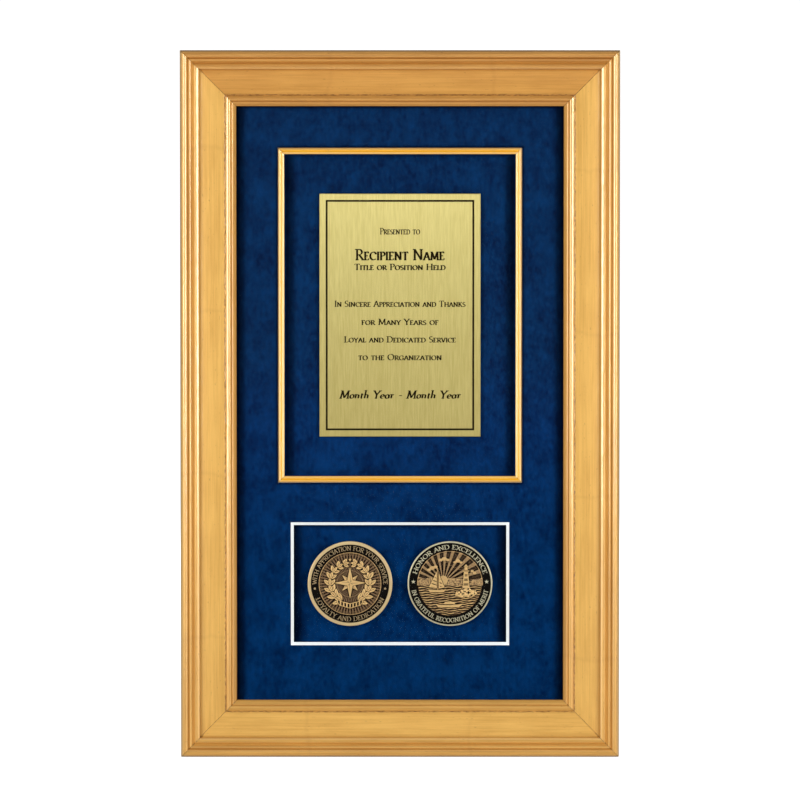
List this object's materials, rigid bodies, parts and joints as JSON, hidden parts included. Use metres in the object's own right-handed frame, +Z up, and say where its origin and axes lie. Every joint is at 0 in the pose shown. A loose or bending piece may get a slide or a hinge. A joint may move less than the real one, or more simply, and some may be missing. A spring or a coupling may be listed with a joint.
{
  "type": "coin display frame",
  "caption": "Wall-hung shadow-box frame with mitred gold moulding, recessed suede mount, engraved plaque and round medallions behind clear glazing.",
  "frame": {"origin": "middle of the frame's bottom edge, halfway through the depth of the moulding", "axes": "+Z up along the frame's height, +X to the right as the front is viewed, -Y out of the front, +Y out of the back"},
  "size_m": [0.2286, 0.0393, 0.3683],
  "materials": {
    "gold_leaf_wood": "distressed gold leaf with a satin lacquer",
    "gilt_fillet": "burnished gold leaf",
    "blue_suede": "short napped navy suede",
    "clear_glazing": "clear, low reflection",
    "foam_board": "white paper faces on a foam core",
    "hardboard": "smooth pressed brown fibre",
    "satin_brass": "brushed along its height, with black filled engraving",
    "antique_bronze": "struck relief with black recesses and polished high points",
    "adhesive": "white foam mounting tape",
    "zinc_steel": "bright zinc plate",
    "black_rubber": "matt"
  },
  "bodies": {
    "frame": {"rail_top": "gold_leaf_wood", "rail_bottom": "gold_leaf_wood", "rail_left": "gold_leaf_wood", "rail_right": "gold_leaf_wood", "fillet_top": "gilt_fillet", "fillet_bottom": "gilt_fillet", "fillet_left": "gilt_fillet", "fillet_right": "gilt_fillet", "vnail_top_left": "zinc_steel", "vnail_top_right": "zinc_steel", "vnail_bottom_left": "zinc_steel", "vnail_bottom_right": "zinc_steel", "glazing_pane": "clear_glazing", "top_mat": "blue_suede", "backing_mat": "blue_suede", "spacer_top": "foam_board", "spacer_bottom": "foam_board", "spacer_left": "foam_board", "spacer_right": "foam_board", "spacer_middle": "foam_board", "filler_board": "foam_board", "back_panel": "hardboard", "plaque": "satin_brass", "plaque_tape_lower": "adhesive", "plaque_tape_upper": "adhesive", "coin_left": "antique_bronze", "coin_pad_left": "adhesive", "hanger_strap_left": "zinc_steel", "strap_screw_left": "zinc_steel", "bumper_left": "black_rubber", "coin_right": "antique_bronze", "coin_pad_right": "adhesive", "hanger_strap_right": "zinc_steel", "strap_screw_right": "zinc_steel", "bumper_right": "black_rubber", "button_screw_bottom": "zinc_steel", "button_screw_top": "zinc_steel", "button_screw_left_lower": "zinc_steel", "button_screw_right_lower": "zinc_steel", "button_screw_left_upper": "zinc_steel", "button_screw_right_upper": "zinc_steel"},
    "turn_button_bottom": {"turn_button_bottom": "zinc_steel"},
    "turn_button_top": {"turn_button_top": "zinc_steel"},
    "turn_button_left_lower": {"turn_button_left_lower": "zinc_steel"},
    "turn_button_right_lower": {"turn_button_right_lower": "zinc_steel"},
    "turn_button_left_upper": {"turn_button_left_upper": "zinc_steel"},
    "turn_button_right_upper": {"turn_button_right_upper": "zinc_steel"},
    "wire_hanger": {"dring_left": "zinc_steel", "dring_right": "zinc_steel", "hanging_wire": "zinc_steel"}
  },
  "joints": [
    {"name": "turn_bottom", "type": "hinge", "parent": "frame", "child": "turn_button_bottom", "pos_m": [0, 0.0169, 0.0155], "axis": [0, 1, 0], "continuous": true},
    {"name": "turn_top", "type": "hinge", "parent": "frame", "child": "turn_button_top", "pos_m": [0, 0.0169, 0.3528], "axis": [0, 1, 0], "continuous": true},
    {"name": "turn_left_lower", "type": "hinge", "parent": "frame", "child": "turn_button_left_lower", "pos_m": [-0.0988, 0.0169, 0.092], "axis": [0, 1, 0], "continuous": true},
    {"name": "turn_right_lower", "type": "hinge", "parent": "frame", "child": "turn_button_right_lower", "pos_m": [0.0988, 0.0169, 0.092], "axis": [0, 1, 0], "continuous": true},
    {"name": "turn_left_upper", "type": "hinge", "parent": "frame", "child": "turn_button_left_upper", "pos_m": [-0.0988, 0.0169, 0.304], "axis": [0, 1, 0], "continuous": true},
    {"name": "turn_right_upper", "type": "hinge", "parent": "frame", "child": "turn_button_right_upper", "pos_m": [0.0988, 0.0169, 0.304], "axis": [0, 1, 0], "continuous": true},
    {"name": "hanger_swing", "type": "hinge", "parent": "frame", "child": "wire_hanger", "pos_m": [0, 0.0186, 0.245], "axis": [-1, 0, 0], "range_deg": [0, 155]}
  ]
}
